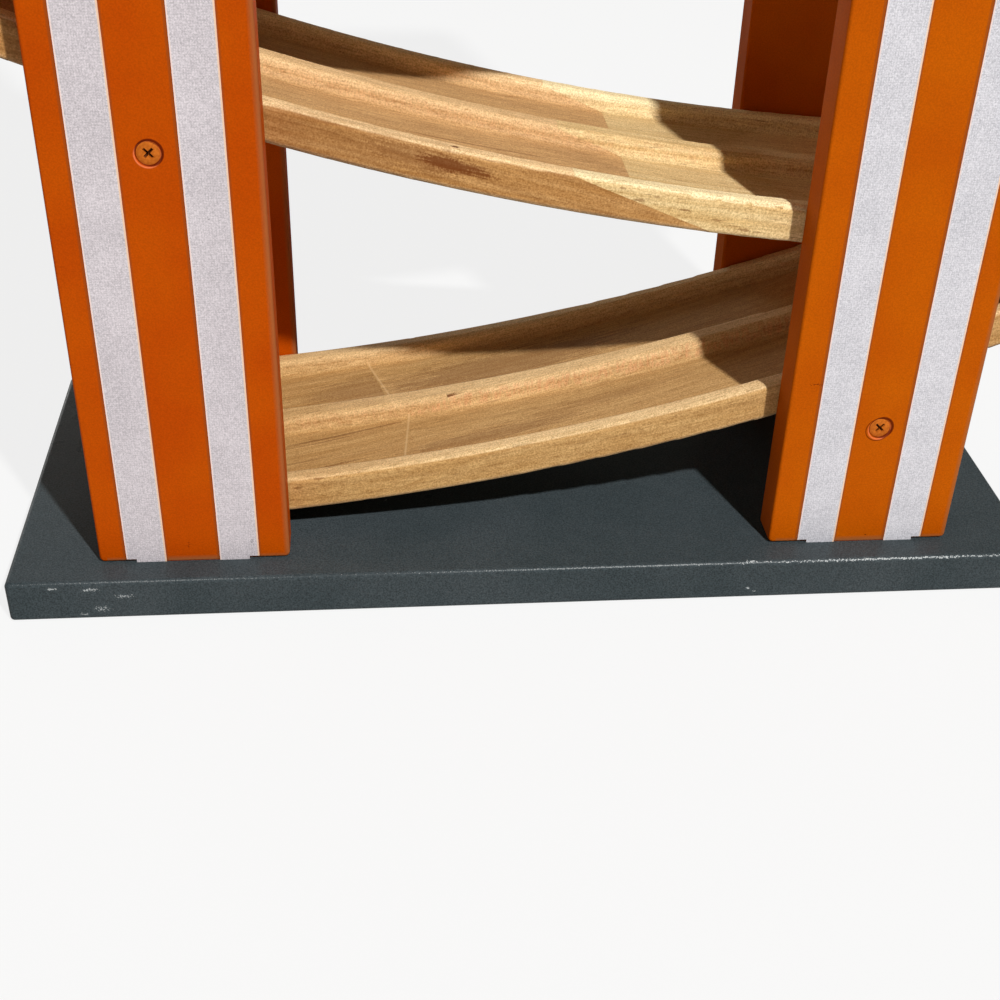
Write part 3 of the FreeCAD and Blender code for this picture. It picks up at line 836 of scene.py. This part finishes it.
def white_film(name, tones, left_edges, right_edges, stains=()):
    """Matte white canvas-textured film: threads in both directions, each a low rounded ridge.

    left_edges and right_edges: where along X, in mm, its two stripes end. stains: spots, each a
    place, half sizes in mm and a strength.
    """
    material, tree, surface, in_mm = start_material(name)
    uneven = add(tree, "TexNoise", in_mm, 0.5, 2.0)
    shifted = add(tree, "VectorMath SCALE", uneven.outputs["Color"], 0.8)
    shifted = add(tree, "VectorMath ADD", in_mm, shifted)
    bands = [add(tree, "TexWave",
                 {"Vector": shifted, "Scale": 0.314 / THREAD_SPACING, "Distortion": 0.6},
                 bands_direction=direction).outputs["Fac"] for direction in ("X", "Z")]
    weave = add(tree, "Math MULTIPLY", bands[0], bands[1])
    grit = add(tree, "TexNoise", in_mm, 2.0, 2.0)
    cloud = add(tree, "TexNoise", in_mm, 0.06, 2.0)
    mottle = add(tree, "Math MULTIPLY_ADD", weave, 0.15, grit)
    mottle = add(tree, "Math MULTIPLY_ADD", cloud, 0.25, mottle)
    tone = add(tree, "MapRange", mottle, 0.42, 0.92)
    colour = add(tree, "Mix RGBA", tone, linear(tones[0]), linear(tones[1]))
    x = add(tree, "SeparateXYZ", in_mm).outputs[0]
    # A cream line along each edge is painted highlight where the film's raised edge catches the
    # light
    edges = ([(edge, LIT_EDGE_WIDTH * 0.8, "#F8DCD0") for edge in left_edges]
             + [(edge, LIT_EDGE_WIDTH, "#F4CDAA") for edge in right_edges])
    for edge, width, tone in edges:
        away = apart(tree, edge, x)
        lit_edge = add(tree, "MapRange", away, width + 0.1, width - 0.1, 0.0, 0.85)
        colour = add(tree, "Mix RGBA", lit_edge, colour, linear(tone))
    for place, half_sizes, weight in stains:
        away = spot_distance(tree, in_mm, place, half_sizes)
        away = add(tree, "Math MULTIPLY_ADD", grit, 2.4, away)
        stain = add(tree, "MapRange", away, *STAIN_RIM, 0.0, weight)
        colour = add(tree, "Mix RGBA", stain, colour, linear(FILM_DIRT))
    set_surface(tree, surface, {"Base Color": colour, "Roughness": 0.62,
                                "Specular IOR Level": 0.25}, mottle, 0.3, 0.1)
    return material


FILM = {"left": ("#B2ABB0", "#E4DCE1"), "right": ("#B6B5BC", "#E8E6EC")}
FILM_STAINS = {
    "front_left": (((-112.5, -70.8, 26.5), (0.9, 1, 3.4), 0.35),
                   ((-118, -70.8, 163), (0.5, 1, 0.5), 0.9),
                   ((-154, -70.8, 153), (0.4, 1, 0.4), 0.5),
                   ((-112, -70.8, 143), (0.4, 1, 0.4), 0.5)),
}
for place in POST_PLACES:
    low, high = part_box("stripes_" + place)
    starts = (low.x / MM, high.x / MM - STRIPE_WIDTH)
    ends = (low.x / MM + STRIPE_WIDTH, high.x / MM)
    dress("stripes_" + place, white_film("white_canvas_film_" + place,
                                         FILM["right" if "right" in place else "left"],
                                         starts, ends, FILM_STAINS.get(place, ())))
print("film: a thread every", THREAD_SPACING, "mm")

# %% [markdown]
# ## Cross-slotted wood screws
#
# A screw through each post holds a cross rail. Its flat head sits a little below the face, and was
# painted over with the post. Zinc-plated screws of the same kind hold the end stops, and the posts
# from under the base. All are one form in different places, so a node tree makes it once: a
# lathe-turned blank whose rings of points are moved to the screw's outline, a tapered cross cut
# out of the head, and a thread wound round the shank. The tree then sets one on each point,
# turned the way the point says.

# %% A tree that makes screws
SCREW_SIZES = {"Head Radius": 4.15, "Rim": 0.35, "Ease": 0.25, "Shank Radius": 1.55, "Length": 38.0,
               "Tip": 5.0, "Cross Length": 4.7, "Cross Width": 1.0, "Cross Depth": 1.9,
               "Thread Pitch": 1.9}


def screw_tree():
    """Screws on points, each facing along its point's "facing" and turned by its "spin"."""
    tree = bpy.data.node_groups.new("wood_screws", "GeometryNodeTree")
    tree.interface.new_socket("Places", in_out="INPUT", socket_type="NodeSocketGeometry")
    for name in SCREW_SIZES:
        tree.interface.new_socket(name, in_out="INPUT", socket_type="NodeSocketFloat")
    tree.interface.new_socket("Finish", in_out="INPUT", socket_type="NodeSocketMaterial")
    tree.interface.new_socket("Screws", in_out="OUTPUT", socket_type="NodeSocketGeometry")
    given = add(tree, "NodeGroupInput").outputs

    def maths(a, operation, *b):
        return add(tree, "Math " + operation, a, *b).outputs[0]

    # Seen from the tip up: the six rings of the blank, and where each goes
    head, shank = given["Head Radius"], given["Shank Radius"]
    eased_top = maths(head, "SUBTRACT", given["Ease"])
    under_head = maths(maths(head, "SUBTRACT", shank), "ADD", given["Rim"])
    tip_start = maths(given["Tip"], "SUBTRACT", given["Length"])
    radii = (0.3, shank, shank, head, head, eased_top)
    heights = (maths(given["Length"], "MULTIPLY", -1.0), tip_start,
               maths(under_head, "MULTIPLY", -1.0), maths(given["Rim"], "MULTIPLY", -1.0),
               maths(maths(given["Ease"], "MULTIPLY", -1.0), "MULTIPLY", 0.6), 0.0)
    blank = add(tree, "GeometryNodeMeshCylinder",
                {"Vertices": 48, "Side Segments": 5, "Radius": 1.0, "Depth": 5.0})
    x, y, z = add(tree, "SeparateXYZ", add(tree, "GeometryNodeInputPosition")).outputs
    ring = maths(maths(z, "ADD", 2.5), "ROUND")
    outline = []
    for values in (radii, heights):
        pick = tree.nodes.new("GeometryNodeIndexSwitch")
        pick.data_type = "FLOAT"
        while len(pick.index_switch_items) < len(values):
            pick.index_switch_items.new()
        tree.links.new(ring, pick.inputs["Index"])
        for number, value in enumerate(values):
            feed(tree, pick.inputs[number + 1], value)
        outline.append(pick.outputs[0])
    place = add(tree, "CombineXYZ", maths(x, "MULTIPLY", outline[0]),
                maths(y, "MULTIPLY", outline[0]), outline[1])
    body = add(tree, "GeometryNodeSetPosition",
               {"Geometry": blank.outputs["Mesh"], "Position": place})

    # Two tapered bars make the cross. Each is cut out of the head in turn, and the second is a
    # little shallower, because two floors in one plane would leave open edges
    for angle, share in ((0.0, 1.0), (math.pi / 2, 0.92)):
        size = add(tree, "CombineXYZ", given["Cross Length"], given["Cross Width"],
                   maths(given["Cross Depth"], "MULTIPLY", 2.0 * share))
        bar = add(tree, "GeometryNodeMeshCube", {"Size": size})
        deep = maths(z, "DIVIDE", given["Cross Depth"])
        narrow = add(tree, "MapRange", deep, -1.0, 0.0, 0.35, 1.0, clamp=False)
        tapered = add(tree, "CombineXYZ", maths(x, "MULTIPLY", narrow),
                      maths(y, "MULTIPLY", narrow), z)
        bar = add(tree, "GeometryNodeSetPosition",
                  {"Geometry": bar.outputs["Mesh"], "Position": tapered})
        bar = add(tree, "GeometryNodeTransform", {"Geometry": bar, "Rotation": (0.0, 0.0, angle)})
        body = add(tree, "GeometryNodeMeshBoolean", {"Mesh 1": body, "Mesh 2": bar},
                   operation="DIFFERENCE")

    # The thread is a three-sided wire wound round the shank, from the tip to under the head
    thread_length = maths(maths(tip_start, "MULTIPLY", -1.0), "MULTIPLY", 0.72)
    winding = add(tree, "GeometryNodeCurveSpiral",
                  {"Resolution": 20,
                   "Rotations": maths(thread_length, "DIVIDE", given["Thread Pitch"]),
                   "Start Radius": shank, "End Radius": shank, "Height": thread_length})
    winding = add(tree, "GeometryNodeSetCurveNormal", {"Curve": winding}, mode="Z_UP")
    section = add(tree, "GeometryNodeCurvePrimitiveCircle", {"Resolution": 3, "Radius": 0.55})
    thread = add(tree, "GeometryNodeCurveToMesh",
                 {"Curve": winding, "Profile Curve": section.outputs["Curve"], "Fill Caps": True})
    low_end = add(tree, "CombineXYZ", {"Z": maths(tip_start, "ADD", 0.3)})
    thread = add(tree, "GeometryNodeTransform", {"Geometry": thread, "Translation": low_end})
    screw = add(tree, "GeometryNodeJoinGeometry", {"Geometry": thread})
    feed(tree, screw.inputs[0], body)

    facing = add(tree, "GeometryNodeInputNamedAttribute", {"Name": "facing"},
                 data_type="FLOAT_VECTOR")
    spin = add(tree, "GeometryNodeInputNamedAttribute", {"Name": "spin"}, data_type="FLOAT")
    aimed = add(tree, "FunctionNodeAlignRotationToVector", {"Vector": facing}, axis="Z")
    about = add(tree, "FunctionNodeAxisAngleToRotation", {"Axis": (0, 0, 1), "Angle": spin})
    turned_by = add(tree, "FunctionNodeRotateRotation", {"Rotation": aimed, "Rotate By": about},
                    rotation_space="LOCAL")
    placed = add(tree, "GeometryNodeInstanceOnPoints",
                 {"Points": given["Places"], "Instance": screw, "Rotation": turned_by,
                  "Scale": (MM, MM, MM)})
    real = add(tree, "GeometryNodeRealizeInstances", {"Geometry": placed})
    finished = add(tree, "GeometryNodeSetMaterial", {"Geometry": real, "Material": given["Finish"]})
    add(tree, "NodeGroupOutput", {"Screws": finished})
    return tree


wood_screws = screw_tree()
print("screw tree:", len(wood_screws.nodes), "nodes")

# %% [markdown]
# ## The screws' two finishes
#
# The screws in the posts carry the posts' orange, a little paler where the driver rubbed it, and
# the cross in each head is darkened with painted shade. The others are bright zinc: a pale, faintly
# blue metal with small crystals that reflect each a little differently.

# %% Painted and zinc-plated steel
ZINC_GRAIN = 0.5


def screw_finish(name, tones, metallic, roughness, sheen, grain_size, recess_shade=None):
    """A coat on a steel screw, mottled at grain_size mm. tones: its two tones, and its dark one."""
    material, tree, surface, in_mm = start_material(name)
    grains = add(tree, "TexNoise", in_mm, 1 / grain_size, 2.0)
    share = add(tree, "MapRange", grains, 0.3, 0.7)
    colour = add(tree, "Mix RGBA", share, linear(tones[0]), linear(tones[1]))
    # Deeper than the given depth, in the cross, the colour turns dark: painted shade in the recess
    if recess_shade:
        face, depth = recess_shade
        y = add(tree, "SeparateXYZ", in_mm).outputs[1]
        out = add(tree, "Math ABSOLUTE", y)
        sunk = add(tree, "Math SUBTRACT", face, out)
        dark = add(tree, "MapRange", sunk, depth, depth + 0.5, 0.0, 0.9)
        colour = add(tree, "Mix RGBA", dark, colour, linear(tones[2]))
    rough = add(tree, "MapRange", grains, 0.0, 1.0, roughness - 0.1, roughness + 0.1)
    set_surface(tree, surface, {"Base Color": colour, "Metallic": metallic, "Roughness": rough,
                                "Specular IOR Level": sheen}, grains, 0.3, 0.05)
    return material


HEAD_DEPTH = 0.65
painted_steel = screw_finish("orange_paint_on_steel", ("#CC6E20", "#B05A14", "#4A1C08"), 0.0, 0.55,
                             0.1, 0.9, recess_shade=(POST_FACE_Y - HEAD_DEPTH, 0.15))
zinc = screw_finish("zinc_plated_steel", ("#C9CDCF", "#B4B8BA", "#6E7072"), 1.0, 0.35, 0.5,
                    ZINC_GRAIN)
print("screw finishes:", painted_steel.name, "and", zinc.name)

# %% [markdown]
# ## Every screw in its place
#
# A piece starts as loose points that carry two attributes: the way each screw faces, and how far
# it was turned when it stopped. The tree's sizes are set on the modifier, its result becomes a
# plain mesh, and that mesh replaces the CAD model's plain screws.

# %% Set the screws
STOP_RIDGES = (-50.3, 0.0, 50.3)
STOP_SCREW_X = RAMP_LOWEST_X + 12.0 - HEAD_DEPTH
BASE_SCREW_X = 136.25
BASE_SCREW_Y = 62.75


def set_screws(name, slot, places, finish, replaced, **sizes):
    """Make one piece of screws. places: for each, its head's middle in mm, its facing and spin."""
    points = bpy.data.meshes.new(name + "_points")
    points.from_pydata([Vector(place) * MM for place, _, _ in places], [], [])
    points.attributes.new("facing", "FLOAT_VECTOR", "POINT")
    points.attributes.new("spin", "FLOAT", "POINT")
    for number, (_, way, angle) in enumerate(places):
        points.attributes["facing"].data[number].vector = way
        points.attributes["spin"].data[number].value = math.radians(angle)
    maker = new_object(name + "_maker", points)
    modifier = maker.modifiers.new("screws", "NODES")
    modifier.node_group = wood_screws
    for item in wood_screws.interface.items_tree:
        if item.in_out == "INPUT" and item.name == "Finish":
            modifier[item.identifier] = finish
        elif item.in_out == "INPUT" and item.name in SCREW_SIZES:
            modifier[item.identifier] = sizes.get(item.name.lower().replace(" ", "_"),
                                                  SCREW_SIZES[item.name])
    graph = bpy.context.evaluated_depsgraph_get()
    mesh = bpy.data.meshes.new_from_object(maker.evaluated_get(graph))
    bpy.data.objects.remove(maker)
    bpy.data.meshes.remove(points)
    mesh.name = name
    mesh.set_sharp_from_angle(angle=math.radians(35))
    piece = new_object(name, mesh)
    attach(piece, "root")
    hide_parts(*replaced)
    print(name, "has", len(places), "screws and", len(mesh.polygons), "faces")


SPINS = (47.0, 20.0, 74.0, 38.0)
for level in range(4):
    x = turned(level) * SCREW_X
    places = []
    for side in (-1, 1):
        spin = 45.0 if side < 0 and level < 2 else SPINS[level] + 9.0 * side
        places.append(((x, side * (POST_FACE_Y - HEAD_DEPTH), screw_height(level)),
                       (0, side, 0), spin))
    node = f"rail_screws_{level + 1}"
    set_screws(f"painted_screws_{level + 1}", "painted_screw", places, painted_steel, [node])

    # The stop's screws are drawn for a level ramp end, then swung round the ramp's centre
    swing = Matrix.Rotation(-math.asin((HIGH_END_X - RAMP_LOWEST_X) / RAMP_RADIUS), 4, "Y")
    half_turn = Matrix.Rotation(math.radians(180.0 if level % 2 else 0.0), 4, "Z")
    ring_centre = Vector((RAMP_LOWEST_X, 0, RING_Z))
    places = []
    for number, y in enumerate(STOP_RIDGES):
        place = Vector((STOP_SCREW_X, y, RING_Z - RAMP_RADIUS + RAMP_THICKNESS / 2))
        place = ring_centre + swing @ (place - ring_centre)
        place = half_turn @ place + Vector((0, 0, level * LEVEL_PITCH))
        way = half_turn @ (swing @ Vector((1, 0, 0)))
        places.append((place, way, SPINS[number] + 21.0 * level))
    set_screws(f"end_stop_screws_{level + 1}_zinc", "steel_screw", places, zinc,
               [f"end_stop_screws_{level + 1}"], length=30.0)

for place in POST_PLACES:
    side = 1 if "right" in place else -1
    y = -BASE_SCREW_Y if "front" in place else BASE_SCREW_Y
    places = [((side * BASE_SCREW_X + shift, y, HEAD_DEPTH), (0, 0, -1), 30.0 + 3.0 * shift)
              for shift in (-12.0, 12.0)]
    set_screws(f"base_screws_{place}_zinc", "steel_screw", places, zinc, [f"base_screws_{place}"])
